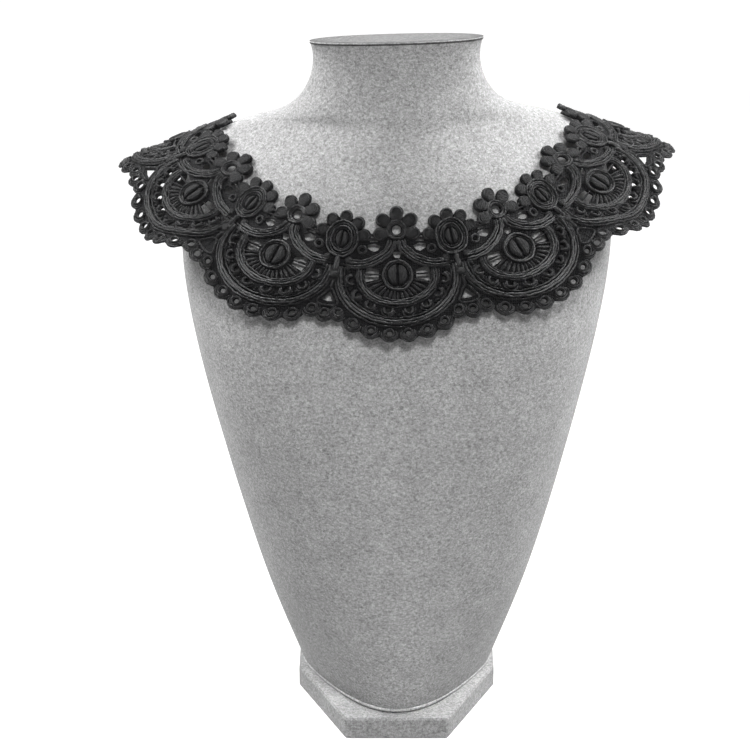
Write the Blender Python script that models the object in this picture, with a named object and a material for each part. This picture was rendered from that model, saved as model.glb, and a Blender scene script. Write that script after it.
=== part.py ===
# Lace collar on a limbless display bust.
#
# The collar is cut flat as an open ring of nine scalloped fans. Each motif is laid out on that flat
# pattern, the pattern is triangulated with its gaps left out, and the result is draped over the
# shoulders by a short table of sections. Tables and constants are in millimetres; meshes in metres.
# X is to the wearer's left, -Y is the front, Z is up, and the base stands on Z = 0.

import bpy
import numpy as np
from mathutils import Vector
from mathutils.geometry import delaunay_2d_cdt

MM = 0.001
SEAM_GAP = 0.3            # between pieces that touch

# ---- flat pattern of the collar -------------------------------------------------------------------
FAN_ANGLE = 29.0          # pitch of the fans round the flat ring, degrees
BUTTON_RADIUS = 130.0     # from the ring's centre to the middle of each fan
MEDALLION_RADIUS = 113.0  # from the ring's centre to the middle of each medallion
JOINT_PICOT_RADIUS = 152.8
JOINT_PICOT_Q = MEDALLION_RADIUS - JOINT_PICOT_RADIUS

WALL = 1.6                # lace thickness between the raised cords
SLIVER = 0.01             # a triangle of less doubled area lies along a straight edge, outside it
RELIEF_MARGIN = 0.55      # raised points keep this far from an edge
NORMAL_STEP = 0.5         # flat step for the lace's direction

FLOWER_CENTRE = (0.0, 23.5)       # from the fan's button
FLOWER_HOLE = 2.4
FLOWER_RING = 6.2
FLOWER_PETALS = (-104.0, -57.0, 0.0, 57.0, 104.0)
FLOWER_PETAL_REACH = 8.8
PETAL_RADIUS = 3.4
PETAL_CORNERS = (-75.0, -25.0, 25.0, 75.0)
BRIDGE_NOTCH = (12.7, 20.9)       # over the bar from a flower to the next medallion

MEDALLION_PETALS = (-72.0, -36.0, 0.0, 36.0, 72.0)
MEDALLION_PETAL_REACH = 11.8
MEDALLION_RING = 11.2

# ellipses of a fan round its button: (half width, drop)
INNER_BAND = (20.0, 15.2)
EYELETS = (24.4, 19.0)
OUTER_BAND = (30.3, 25.2)
PICOTS = (38.5, 31.0)
SPOKE_ENDS = (17.2, 12.9)
SPOKE_STARTS = (9.6, 9.6)

BAND_SWEEP = 104.0        # the bands run this far each way from straight down, degrees
EYELET_TURNS = (16.4, 43.7, 65.7, 85.7)
PICOT_TURNS = (7.3, 22.1, 37.6, 53.6)
SPOKE_GAP_TURNS = (83.0, 103.0)
SPOKE_GAP_WIDTH = 15.0
PICOT_HOLE = 1.8
PICOT_OUTER = 5.0
PICOT_CORNERS = (-38.0, 0.0, 38.0)

# gaps of a fan: (p sideways, q towards the neckline) from its button, or (run, out) from an eyelet
ROOF_GAP = ((-1.3, 9.2), (1.3, 9.2), (2.4, 11.6), (-2.4, 11.6))
SIDE_GAP = ((8.7, 15.5), (11.9, 13.1), (15.2, 14.8), (14.9, 17.2), (11.4, 17.4))
EYELET = ((-1.7, -1.4), (1.7, -1.4), (1.8, 0.5), (0.0, 1.8), (-1.8, 0.5))
# three-sided gap between two fans, from the medallion
JOINT_GAP = ((0.0, -28.6), (3.0, -32.7), (0.0, -33.7), (-3.0, -32.7))
# points of a cut through a medallion line, and of the collar's free end, from the medallion
SEAM_POINTS = (-21.0, -14.0, -7.0, 0.0, 7.0)
FREE_END = ((4.2, -36.0), (3.2, -31.0), (2.9, -20.0), (3.4, -11.5), (5.6, -7.4), (7.4, -3.0), (7.9, 2.0))

# raised parts; a height is from the inner face to the outer one
BAND_HEIGHT = 3.1
CORD_HEIGHT = 2.7
PETAL_HEIGHT = 3.0
ROOF_RIDGE = ((2.8, 15.4), (8.4, 10.9), (15.6, 8.2), (22.6, 7.6))
# half width, half height, corners, height
BUTTON_RINGS = (
    (8.5, 8.5, 10, CORD_HEIGHT),
    (7.2, 7.6, 8, 1.9),
    (5.4, 6.2, 8, 3.1),
)
BUTTON_TOP = ((2.2, 2.6), (2.2, -2.6), (-2.2, 2.6), (-2.2, -2.6))
BUTTON_TOP_HEIGHT = 3.7
BUTTON_SLIT = ((0.0, 4.4), (0.0, -4.4))
SLIT_HEIGHT = 2.5
MEDALLION_RINGS = (
    (6.5, 7.6, 8, CORD_HEIGHT),
    (4.9, 6.0, 8, 1.9),
    (3.3, 4.6, 6, 3.4),
)
MEDALLION_SLIT = ((0.0, 2.4), (0.0, -2.4))
STEM = ((0.0, -13.0), (0.0, -19.0), (0.0, -25.0))

# ---- drape: one row for a line of the collar from neckline to edge --------------------------------
# fan: 0 at centre front, half numbers are medallions. x, y, z: the flower line there.
# heading, drop: which way the lace runs outward from there, in degrees from the front and in degrees
# below level. edge_heading, edge_drop: the same at the outer edge.
DRAPE_RADIUS = 106.5      # flat radius of the flower line
EDGE_REACH = 59.0         # from the flower line to the outer edge
DRAPE_ROWS = (
    # fan     x      y      z  heading  drop  edge_heading  edge_drop
    (0.0,   0.0, -79.8, 288.8,   0.0,  69.9,   0.0, 58.2),
    (1.0,  50.9, -69.7, 296.1,  50.4,  54.0,  59.7, 48.7),
    (1.3,  63.6, -60.5, 300.4,  59.6,  46.9,  65.5, 38.7),
    (1.7,  77.7, -45.5, 308.6,  70.6,  39.6,  60.8, 22.1),
    (2.0,  87.7, -33.8, 315.0,  74.7,  28.2,  80.1, 40.9),
    (2.5,  98.7, -11.2, 325.3,  85.7,  20.4,  87.0, 26.7),
    (3.0, 100.0,  15.0, 332.7,  99.0,  20.0,  99.0, 24.0),
    (4.0,  84.5,  59.5, 308.0, 127.0,  48.0, 127.0, 56.0),
    (4.5,  65.0,  73.0, 292.5, 150.0,  66.0, 150.0, 72.0),
)

# ---- display bust: one row for a level section ----------------------------------------------------
# axis: y of the widest point; front, back: y of the middle of the chest and of the back;
# pinch: how far the section falls inside an ellipse between chest and shoulder, below 0 fuller.
BUST_ROWS = (
    # z, half width,  axis,  front,  back, pinch
    (12.6,   54.7,   5.0,  -68.7,  34.0,  0.55),
    (30.0,   61.4,   7.0,  -73.0,  38.0,  0.36),
    (75.0,   76.2,   5.0,  -86.5,  48.0,  0.00),
    (124.0,  90.0,   3.0,  -98.5,  58.0, -0.10),
    (172.0, 101.8,   2.0, -106.2,  67.0, -0.23),
    (219.0, 112.3,   2.0, -103.7,  77.0, -0.38),
    (240.0, 116.2,   3.0,  -98.7,  80.0, -0.455),
    (264.0, 119.3,   4.0,  -88.4,  81.0, -0.445),
    (290.0, 119.6,   7.0,  -77.9,  80.5, -0.12),
    (306.0, 117.0,  10.0,  -71.6,  73.5,  0.21),
    (318.0, 112.0,  12.5,  -66.3,  64.5,  0.42),
    (327.0, 105.5,  14.0,  -62.9,  55.5,  0.60),
    (333.0,  96.5,  13.0,  -60.2,  47.5,  0.535),
    (337.5,  82.0,   8.0,  -58.4,  38.0,  0.42),
    (342.0,  66.0,  -3.0,  -56.8,  29.0,  0.12),
    (348.0,  55.0, -14.0,  -55.0,  17.0,  0.00),
    (357.0,  47.8, -22.0,  -53.0,   7.0,  0.00),
    (367.0,  44.2, -25.0,  -52.0,   1.5,  0.00),
    (374.0,  43.4, -26.0,  -52.0,   0.0,  0.00),
    (379.0,  45.6, -26.0,  -53.0,   1.0,  0.00),
    (381.0,  46.0, -26.0,  -53.2,   1.2,  0.00),
)
BACK_PINCH = -0.15
BUST_SIDES = 44
BUST_STEP = 9.0           # between rings where the side is upright, less where it lies flat
LEAST_STEP = 1.0
BUST_SMOOTH_ANGLE = 50.0
SHOULDER_LEAN = 0.027     # rise to +X of the shoulders, neck and collar, a slope
LEAN_FROM, LEAN_FULL = 90.0, 225.0

# ---- base plate -----------------------------------------------------------------------------------
BASE_HEIGHT = 12.3
BASE_FRONT = (28.5, -76.0)    # half width and y of the front edge
BASE_FACET = (57.6, -7.5)     # where the slanted front corner ends
BASE_BACK = (59.0, 48.0)
BASE_BEVEL = 1.0

FELT_COLOUR = (0.42, 0.42, 0.42)
FELT_ROUGHNESS = 0.95
THREAD_COLOUR = (0.018, 0.018, 0.019)
THREAD_ROUGHNESS = 0.7


def smoothstep(t):
    t = np.clip(t, 0.0, 1.0)
    return t * t * (3.0 - 2.0 * t)


def lean(points):
    """Raise the +X side of the bust's top, and of the collar with it, a little."""
    points = np.array(points, float)
    share = smoothstep((points[:, 2] - LEAN_FROM) / (LEAN_FULL - LEAN_FROM))
    points[:, 2] += points[:, 0] * SHOULDER_LEAN * share
    return points


def swing(points):
    """Lean the collar, and move what hangs below the centre flower towards +X with it."""
    points = np.array(points, float)
    points[:, 0] += np.maximum(DRAPE_ROWS[0][3] - points[:, 2], 0.0) * SHOULDER_LEAN
    return lean(points)


def natural_spline(knots, values):
    """A smooth curve through a table's columns; returns a function of the knot value."""
    knots, values = np.array(knots, float), np.array(values, float)
    count, gaps = len(knots), np.diff(knots)
    system, slopes = np.eye(count), np.zeros_like(values)
    for k in range(1, count - 1):
        system[k, k - 1:k + 2] = gaps[k - 1], 2 * (gaps[k - 1] + gaps[k]), gaps[k]
        slopes[k] = 6 * ((values[k + 1] - values[k]) / gaps[k] - (values[k] - values[k - 1]) / gaps[k - 1])
    bends = np.linalg.solve(system, slopes)

    def curve(at):
        at = np.atleast_1d(np.asarray(at, float))
        k = np.clip(np.searchsorted(knots, at) - 1, 0, count - 2)
        gap = gaps[k][:, None]
        after, before = (at - knots[k])[:, None], (knots[k + 1] - at)[:, None]
        return (bends[k] * before ** 3 + bends[k + 1] * after ** 3) / (6 * gap) \
            + (values[k] / gap - bends[k] * gap / 6) * before \
            + (values[k + 1] / gap - bends[k + 1] * gap / 6) * after

    return curve


def drape_curve():
    """The drape table, mirrored to both sides, as a curve over the fan number."""
    rows = [(-fan, -x, y, z, -heading, drop, -edge_heading, edge_drop)
            for fan, x, y, z, heading, drop, edge_heading, edge_drop in reversed(DRAPE_ROWS[1:])]
    rows = np.array(rows + list(DRAPE_ROWS))
    return natural_spline(rows[:, 0], rows[:, 1:])


DRAPE = drape_curve()


def drape(flat):
    """Points of the lace's inner face for points of the flat pattern."""
    flat = np.atleast_2d(np.asarray(flat, float))
    radius = np.hypot(flat[:, 0], flat[:, 1])
    fan = np.degrees(np.arctan2(flat[:, 0], -flat[:, 1])) / FAN_ANGLE
    row = DRAPE(fan)
    heading, drop, edge_heading, edge_drop = np.radians(row[:, 3:]).T

    def direction(turn, slope):
        level = np.cos(slope)
        return np.stack([np.sin(turn) * level, -np.cos(turn) * level, -np.sin(slope)], 1)

    reach = (radius - DRAPE_RADIUS)[:, None]
    curl = np.where(reach > 0, reach ** 2 / (2 * EDGE_REACH), 0.0)
    start, end = direction(heading, drop), direction(edge_heading, edge_drop)
    return row[:, :3] + reach * start + curl * (end - start)


def drape_out(flat, heights):
    """The same points moved out square to the lace by their heights."""
    flat = np.asarray(flat, float)
    across = drape(flat + (NORMAL_STEP, 0.0)) - drape(flat - (NORMAL_STEP, 0.0))
    inward = drape(flat + (0.0, NORMAL_STEP)) - drape(flat - (0.0, NORMAL_STEP))
    normal = np.cross(across, inward)
    normal /= np.linalg.norm(normal, axis=1)[:, None]
    return drape(flat) + normal * np.asarray(heights, float)[:, None]


# ---- flat pattern ---------------------------------------------------------------------------------
class Motif:
    """A place on the flat ring: p runs sideways from it and q towards the neckline."""

    def __init__(self, fan, radius):
        angle = np.radians(fan * FAN_ANGLE)
        self.along = np.array([np.cos(angle), np.sin(angle)])
        self.inward = np.array([-np.sin(angle), np.cos(angle)])
        self.centre = -radius * self.inward

    def at(self, *points):
        return [self.centre + p * self.along + q * self.inward for p, q in points]


def fan_place(fan):
    return Motif(fan, BUTTON_RADIUS)


def medallion_place(fan):
    return Motif(fan, MEDALLION_RADIUS)


def arc(centre, reach, turns):
    """Points round a centre; a turn of 0 points to the neckline, and turns grow towards +p."""
    return [(centre[0] + reach * np.sin(np.radians(turn)), centre[1] + reach * np.cos(np.radians(turn)))
            for turn in turns]


def on_ellipse(ellipse, turn):
    """The point of a fan's ellipse in a direction measured from straight down."""
    half_width, drop = ellipse
    side, down = np.sin(np.radians(turn)), np.cos(np.radians(turn))
    reach = 1.0 / np.hypot(side / half_width, down / drop)
    return side * reach, -down * reach


def ring(centre, half_width, half_height, count):
    turns = np.arange(count) * 2 * np.pi / count
    return [(centre[0] + half_width * np.sin(t), centre[1] + half_height * np.cos(t)) for t in turns]


def mirrored(points):
    return [(-p, q) for p, q in reversed(points)]


def petal_edge(centre, petals, reach, ring_radius):
    """The outline of a row of petals that stand on a ring, from left to right."""
    points = []
    for k, petal in enumerate(petals):
        middle, = arc(centre, reach, [petal])
        points += arc(middle, PETAL_RADIUS, [petal + corner for corner in PETAL_CORNERS])
        if k + 1 < len(petals):
            points += arc(centre, ring_radius, [(petal + petals[k + 1]) / 2])
    return points


def flower_edge():
    """A flower's side of the neckline, with the notch over the bar on each side of it."""
    edge = petal_edge(FLOWER_CENTRE, FLOWER_PETALS, FLOWER_PETAL_REACH, FLOWER_RING)
    # the low petals' undersides are part of the bars
    return mirrored([BRIDGE_NOTCH]) + edge[2:-2] + [BRIDGE_NOTCH]


def medallion_edge(side=0):
    """A medallion's side of the neckline: whole, or one half where a seam runs through it."""
    whole = petal_edge((0.0, 0.0), MEDALLION_PETALS, MEDALLION_PETAL_REACH, MEDALLION_RING)[2:-2]
    if side == 0:
        return whole
    half = [point for point in whole if point[0] * side > 0]
    top = (side * SEAM_GAP / 2, MEDALLION_PETAL_REACH + PETAL_RADIUS)
    return [top] + half if side > 0 else half + [top]


def seam_edge():
    """The cut through a medallion line on its -p side, from the outer edge to the neckline."""
    cut, hole, low = -SEAM_GAP / 2, PICOT_HOLE, JOINT_PICOT_Q
    hole_side = -hole * np.cos(np.radians(30.0))
    line = [(cut, low - PICOT_OUTER), (cut, low - hole), (hole_side, low - hole / 2),
            (hole_side, low + hole / 2), (cut, low + hole)]
    line += [(cut, JOINT_GAP[2][1]), JOINT_GAP[3], (cut, JOINT_GAP[0][1])]
    return line + [(cut, q) for q in SEAM_POINTS]


def joint_picot(fan):
    return medallion_place(fan).at((0.0, JOINT_PICOT_Q))


def picot_row(first, last, ends):
    """The middles of the whole picots from fan first to fan last, from left to right."""
    middles = []
    turns = np.radians([-t for t in reversed(PICOT_TURNS)] + list(PICOT_TURNS))
    own = [(PICOTS[0] * np.sin(t), -PICOTS[1] * np.cos(t)) for t in turns]
    for fan in range(first, last + 1):
        if fan > first or ends[0] == "end":
            middles += joint_picot(fan - 0.5)
        middles += fan_place(fan).at(*own)
    if ends[1] == "end":
        middles += joint_picot(last + 0.5)
    return middles


def picot_edge(middles, first, last, ends):
    """The outer edge: corners round each whole picot, and one in each notch between two."""
    chain = list(middles)
    if ends[0] == "seam":
        chain = joint_picot(first - 0.5) + chain
    if ends[1] == "seam":
        chain = chain + joint_picot(last + 0.5)
    edge = []
    for k, middle in enumerate(chain):
        before, after = chain[max(k - 1, 0)], chain[min(k + 1, len(chain) - 1)]
        run = (after - before) / np.linalg.norm(after - before)
        out = np.array([run[1], -run[0]])
        cut_by_seam = (k == 0 and ends[0] == "seam") or (k == len(chain) - 1 and ends[1] == "seam")
        if not cut_by_seam:
            for corner in np.radians(PICOT_CORNERS):
                edge.append(middle + PICOT_OUTER * (np.sin(corner) * run + np.cos(corner) * out))
        if k + 1 < len(chain):
            gap = chain[k + 1] - middle
            width = np.linalg.norm(gap)
            square = np.array([gap[1], -gap[0]]) / width
            edge.append(middle + gap / 2 + square * np.sqrt(max(PICOT_OUTER ** 2 - width ** 2 / 4, 1.0)))
    return edge


def fan_gaps(fan):
    """The gaps inside one fan, as loops of flat points."""
    loops = [ring(FLOWER_CENTRE, FLOWER_HOLE, FLOWER_HOLE, 7), ROOF_GAP, SIDE_GAP, mirrored(SIDE_GAP)]
    for turn in SPOKE_GAP_TURNS:
        low, high = turn - SPOKE_GAP_WIDTH / 2, turn + SPOKE_GAP_WIDTH / 2
        loop = [on_ellipse(SPOKE_STARTS, low), on_ellipse(SPOKE_ENDS, low),
                on_ellipse(SPOKE_ENDS, high), on_ellipse(SPOKE_STARTS, high)]
        loops += [loop, mirrored(loop)]
    for turn in EYELET_TURNS:
        middle = np.array(on_ellipse(EYELETS, turn))
        out = middle / np.linalg.norm(middle)
        run = np.array([-out[1], out[0]])
        loop = [tuple(middle + side * run + depth * out) for side, depth in EYELET]
        loops += [loop, mirrored(loop)]
    return [fan_place(fan).at(*loop) for loop in loops]


def picot_gap(middle):
    """The hole of a picot, turned to face the ring's centre."""
    fan = np.degrees(np.arctan2(middle[0], -middle[1])) / FAN_ANGLE
    return Motif(fan, np.linalg.norm(middle)).at(*ring((0.0, 0.0), PICOT_HOLE, PICOT_HOLE, 6))


def fan_relief(fan):
    """Raised parts of one fan: (flat points, heights, how they join)."""
    outer = [on_ellipse(OUTER_BAND, turn) for turn in np.linspace(-BAND_SWEEP, BAND_SWEEP, 14)]
    inner = [on_ellipse(INNER_BAND, turn) for turn in np.linspace(-BAND_SWEEP, BAND_SWEEP, 11)]
    parts = [(outer, BAND_HEIGHT, "line"), (inner, CORD_HEIGHT, "line"),
             (ROOF_RIDGE, BAND_HEIGHT, "line"), (mirrored(ROOF_RIDGE), BAND_HEIGHT, "line")]
    for half_width, half_height, corners, height in BUTTON_RINGS:
        parts.append((ring((0.0, 0.0), half_width, half_height, corners), height, "loop"))
    parts.append((BUTTON_TOP, BUTTON_TOP_HEIGHT, "points"))
    parts.append((BUTTON_SLIT, SLIT_HEIGHT, "line"))
    petals = arc(FLOWER_CENTRE, FLOWER_PETAL_REACH, FLOWER_PETALS)
    parts.append((petals, PETAL_HEIGHT, "points"))
    return [(fan_place(fan).at(*points), height, join) for points, height, join in parts]


def medallion_relief(fan):
    """Raised points of one medallion; they don't join, because a seam may run through it."""
    parts = [(ring((0.0, 0.0), half_width, half_height, corners), height)
             for half_width, half_height, corners, height in MEDALLION_RINGS]
    parts.append((MEDALLION_SLIT, SLIT_HEIGHT))
    parts.append((arc((0.0, 0.0), MEDALLION_PETAL_REACH, MEDALLION_PETALS), PETAL_HEIGHT))
    parts.append((STEM, CORD_HEIGHT))
    return [(medallion_place(fan).at(*points), height, "points") for points, height in parts]


def stretch_pattern(first, last, ends):
    """Outline, gaps and relief of the fans first to last; ends says seam or end for each side."""
    left_place, right_place = medallion_place(first - 0.5), medallion_place(last + 0.5)
    right = right_place.at(*(seam_edge() if ends[1] == "seam" else FREE_END))
    left = left_place.at(*mirrored(seam_edge() if ends[0] == "seam" else FREE_END))
    neck = left_place.at(*medallion_edge(side=1 if ends[0] == "seam" else 0))
    holes, relief = [], []
    for fan in range(first, last + 1):
        neck += fan_place(fan).at(*flower_edge())
        side = -1 if fan == last and ends[1] == "seam" else 0
        neck += medallion_place(fan + 0.5).at(*medallion_edge(side))
        holes += fan_gaps(fan)
        relief += fan_relief(fan)
        if fan < last:
            holes.append(medallion_place(fan + 0.5).at(*JOINT_GAP))
    for fan in np.arange(first - 0.5, last + 1.0):
        relief += medallion_relief(fan)
    picots = picot_row(first, last, ends)
    holes += [picot_gap(middle) for middle in picots]
    outline = picot_edge(picots, first, last, ends) + right + neck[::-1] + left
    return np.array(outline), [np.array(hole) for hole in holes], relief


# ---- from the pattern to a solid ------------------------------------------------------------------
def inside(point, loop):
    x, y = point
    hit = False
    for (x0, y0), (x1, y1) in zip(loop, np.roll(loop, -1, axis=0)):
        if (y0 > y) != (y1 > y) and x < x0 + (y - y0) * (x1 - x0) / (y1 - y0):
            hit = not hit
    return hit


def on_lace(point, outline, holes):
    return inside(point, outline) and not any(inside(point, hole) for hole in holes)


def clearance(point, loop):
    """Distance from a point to a closed loop."""
    start, end = np.array(loop), np.roll(np.array(loop), -1, axis=0)
    run = end - start
    share = np.clip(((point - start) * run).sum(1) / (run ** 2).sum(1), 0.0, 1.0)
    return np.linalg.norm(start + run * share[:, None] - point, axis=1).min()


def triangulate(points, edges, outline, holes):
    """Triangles of the pattern between its outline and its holes, wound counter-clockwise."""
    verts, _, faces, origins, _, _ = delaunay_2d_cdt([Vector(p) for p in points], edges, [], 0, 1e-6)
    assert len(verts) == len(points), "two lines of the pattern cross"
    source = [ids[0] for ids in origins]
    triangles = []
    for face in faces:
        corners = [source[k] for k in face]
        a, b, c = (np.array(points[k]) for k in corners)
        turn = (b - a)[0] * (c - a)[1] - (b - a)[1] * (c - a)[0]
        if abs(turn) > SLIVER and on_lace((a + b + c) / 3, outline, holes):
            triangles.append(corners if turn > 0 else corners[::-1])
    return triangles


def lace_piece(name, first, last, ends, material):
    outline, holes, relief = stretch_pattern(first, last, ends)
    loops = [outline] + holes

    points, edges = [], []
    for loop in loops:
        start, count = len(points), len(loop)
        edges += [(start + k, start + (k + 1) % count) for k in range(count)]
        points += list(loop)
    rim_edges = list(edges)
    rim = len(points)
    heights = [WALL] * rim
    for line, height, join in relief:
        placed = []
        for point in line:
            clear = min(clearance(point, loop) for loop in loops)
            if clear > RELIEF_MARGIN and on_lace(point, outline, holes):
                placed.append(len(points))
                points.append(point)
                heights.append(height)
            else:
                placed.append(None)
        pairs = [] if join == "points" else list(zip(placed, placed[1:]))
        if join == "loop":
            pairs.append((placed[-1], placed[0]))
        edges += [pair for pair in pairs if None not in pair]

    outer = triangulate(points, edges, outline, holes)
    inner = triangulate(points[:rim], rim_edges, outline, holes)
    directed = {(t[k], t[(k + 1) % 3]) for t in outer for k in range(3)}
    border = [edge for edge in directed if edge[::-1] not in directed]
    assert {frozenset(edge) for edge in border} == {frozenset(edge) for edge in rim_edges}

    total = len(points)
    outer_verts, inner_verts = drape_out(points, heights), drape(points[:rim])
    faces = [tuple(t) for t in outer] + [tuple(total + k for k in t[::-1]) for t in inner]
    for a, b in sorted(border):
        faces += [(b, a, total + a), (b, total + a, total + b)]
    mesh = bpy.data.meshes.new(name)
    mesh.from_pydata((swing(np.vstack([outer_verts, inner_verts])) * MM).tolist(), [], faces)
    return add_object(name, mesh, material)


# ---- bust and base --------------------------------------------------------------------------------
def bust_rings():
    """Level rings up the bust, closer together where its sides lie flat."""
    rows = np.array(BUST_ROWS)
    curve = natural_spline(rows[:, 0], rows[:, 1:])
    z, top = rows[0, 0], rows[-1, 0]
    levels = [z]
    while z < top:
        spread = abs(curve([z + LEAST_STEP])[0][0] - curve([z])[0][0])
        z = min(z + BUST_STEP / max(1.0, spread), top)
        levels.append(z)
    if levels[-1] - levels[-2] < LEAST_STEP:
        levels.pop(-2)
    turns = np.arange(BUST_SIDES) * 2 * np.pi / BUST_SIDES
    side, depth = np.sin(turns), -np.cos(turns)
    rings = []
    for z, (half_width, axis, front, back, pinch) in zip(levels, curve(levels)):
        chest = (axis - front) * depth * (1.0 - pinch * side ** 2)
        rear = (back - axis) * depth * (1.0 - BACK_PINCH * side ** 2)
        y = axis + np.where(depth < 0, chest, rear)
        rings.append(np.stack([half_width * side, y, np.full(BUST_SIDES, z)], 1))
    return rings


def build_bust(material):
    rings = bust_rings()
    faces = []
    for level in range(len(rings) - 1):
        for k in range(BUST_SIDES):
            a, b = level * BUST_SIDES + k, level * BUST_SIDES + (k + 1) % BUST_SIDES
            faces.append((a, b, b + BUST_SIDES, a + BUST_SIDES))
    faces.append(tuple(range(BUST_SIDES))[::-1])
    top = (len(rings) - 1) * BUST_SIDES
    faces.append(tuple(range(top, top + BUST_SIDES)))
    mesh = bpy.data.meshes.new("bust")
    mesh.from_pydata((lean(np.vstack(rings)) * MM).tolist(), [], faces)
    bust = add_object("bust", mesh, material)
    mesh.shade_smooth()
    mesh.set_sharp_from_angle(angle=np.radians(BUST_SMOOTH_ANGLE))
    return bust


def build_base(material):
    """A flat plate with slanted front corners."""
    half = [BASE_FRONT, BASE_FACET, BASE_BACK]
    plan = half + mirrored(half)
    count = len(plan)
    verts = [(x * MM, y * MM, z * MM) for z in (0.0, BASE_HEIGHT) for x, y in plan]
    faces = [tuple(range(count))[::-1], tuple(range(count, 2 * count))]
    faces += [(k, (k + 1) % count, count + (k + 1) % count, count + k) for k in range(count)]
    mesh = bpy.data.meshes.new("base")
    mesh.from_pydata(verts, [], faces)
    base = add_object("base", mesh, material)
    bevel = base.modifiers.new("edge", "BEVEL")
    bevel.width = BASE_BEVEL * MM
    bevel.segments = 1
    bevel.limit_method = "ANGLE"
    return base


def add_object(name, mesh, material):
    mesh.validate()
    mesh.materials.append(material)
    piece = bpy.data.objects.new(name, mesh)
    bpy.context.scene.collection.objects.link(piece)
    return piece


def cloth_material(name, colour, roughness):
    material = bpy.data.materials.new(name)
    material.use_nodes = True
    shader = material.node_tree.nodes["Principled BSDF"]
    shader.inputs["Base Color"].default_value = (*colour, 1.0)
    shader.inputs["Roughness"].default_value = roughness
    shader.inputs["Metallic"].default_value = 0.0
    return material


def main():
    for old in list(bpy.data.objects):
        bpy.data.objects.remove(old, do_unlink=True)
    build_base(cloth_material("base_felt", FELT_COLOUR, FELT_ROUGHNESS))
    build_bust(cloth_material("bust_felt", FELT_COLOUR, FELT_ROUGHNESS))
    for name, first, last, ends in (("collar_front", -1, 1, ("seam", "seam")),
                                    ("collar_left", -4, -2, ("end", "seam")),
                                    ("collar_right", 2, 4, ("seam", "end"))):
        thread = cloth_material(name + "_thread", THREAD_COLOUR, THREAD_ROUGHNESS)
        lace_piece(name, first, last, ends, thread)


main()
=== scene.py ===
# Looks of a lace collar on its display bust: felt, satin-stitched thread, studio light and camera.
# Lengths are millimetres where no note says metres, and meshes are metres.
# The lace is laid out flat and then draped.
import math

import bmesh
import bpy
import numpy as np
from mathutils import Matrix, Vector
from mathutils.geometry import delaunay_2d_cdt


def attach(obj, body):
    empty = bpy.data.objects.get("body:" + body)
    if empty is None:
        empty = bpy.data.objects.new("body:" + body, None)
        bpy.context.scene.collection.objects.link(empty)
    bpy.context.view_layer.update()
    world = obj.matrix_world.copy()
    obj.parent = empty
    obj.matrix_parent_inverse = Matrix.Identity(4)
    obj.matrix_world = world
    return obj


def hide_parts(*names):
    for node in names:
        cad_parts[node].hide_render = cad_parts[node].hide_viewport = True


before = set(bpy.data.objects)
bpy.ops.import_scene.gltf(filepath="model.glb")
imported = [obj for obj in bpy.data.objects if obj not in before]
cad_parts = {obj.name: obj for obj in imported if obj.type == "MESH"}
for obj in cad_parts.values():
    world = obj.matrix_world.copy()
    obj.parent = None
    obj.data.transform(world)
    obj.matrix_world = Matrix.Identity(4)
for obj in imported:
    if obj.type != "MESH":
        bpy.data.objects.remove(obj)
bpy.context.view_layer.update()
mm = 0.001
print("frame loaded")

# the flat ring of fans, as the solids have it
ringPlan = {
    "fanAngle": 29.0,          # degrees from one fan to the next
    "buttonRadius": 130.0,
    "medallionRadius": 113.0,
    "jointPicotRadius": 152.8,
    "drapeRadius": 106.5,      # the flower line
    "edgeReach": 59.0,         # from there to the outer edge
    "normalStep": 0.5,         # flat step for the lace's direction
    "leanSlope": 0.027,        # the shoulders rise this much to the wearer's left
    "leanFrom": 90.0,          # height where the lean starts, and where it is full
    "leanFull": 225.0,
}
drapeRows = (
    # fan, x, y and z of the flower line, heading and slope there, heading and slope at the outer edge
    (0.0, 0.0, -79.8, 288.8, 0.0, 69.9, 0.0, 58.2),
    (1.0, 50.9, -69.7, 296.1, 50.4, 54.0, 59.7, 48.7),
    (1.3, 63.6, -60.5, 300.4, 59.6, 46.9, 65.5, 38.7),
    (1.7, 77.7, -45.5, 308.6, 70.6, 39.6, 60.8, 22.1),
    (2.0, 87.7, -33.8, 315.0, 74.7, 28.2, 80.1, 40.9),
    (2.5, 98.7, -11.2, 325.3, 85.7, 20.4, 87.0, 26.7),
    (3.0, 100.0, 15.0, 332.7, 99.0, 20.0, 99.0, 24.0),
    (4.0, 84.5, 59.5, 308.0, 127.0, 48.0, 127.0, 56.0),
    (4.5, 65.0, 73.0, 292.5, 150.0, 66.0, 150.0, 72.0),
)


def naturalSpline(knots, values):
    # a natural cubic through the values at the knots
    count, gaps = len(knots), np.diff(knots)
    system, slopes = np.eye(count), np.zeros_like(values)
    for k in range(1, count - 1):
        system[k, k - 1:k + 2] = gaps[k - 1], 2 * (gaps[k - 1] + gaps[k]), gaps[k]
        slopes[k] = 6 * ((values[k + 1] - values[k]) / gaps[k] - (values[k] - values[k - 1]) / gaps[k - 1])
    bends = np.linalg.solve(system, slopes)

    def curve(at):
        at = np.atleast_1d(np.asarray(at, float))
        k = np.clip(np.searchsorted(knots, at) - 1, 0, count - 2)
        gap = gaps[k][:, None]
        after, before = (at - knots[k])[:, None], (knots[k + 1] - at)[:, None]
        return (bends[k] * before ** 3 + bends[k + 1] * after ** 3) / (6 * gap) \
            + (values[k] / gap - bends[k] * gap / 6) * before \
            + (values[k + 1] / gap - bends[k + 1] * gap / 6) * after

    return curve


def drapeCurve():
    mirroredRows = [(-fan, -x, y, z, -heading, drop, -edgeHeading, edgeDrop)
                    for fan, x, y, z, heading, drop, edgeHeading, edgeDrop in reversed(drapeRows[1:])]
    rows = np.array(mirroredRows + list(drapeRows))
    return naturalSpline(rows[:, 0], rows[:, 1:])


drapeAt = drapeCurve()


def unit(rows):
    return rows / np.linalg.norm(rows, axis=1)[:, None]


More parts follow.
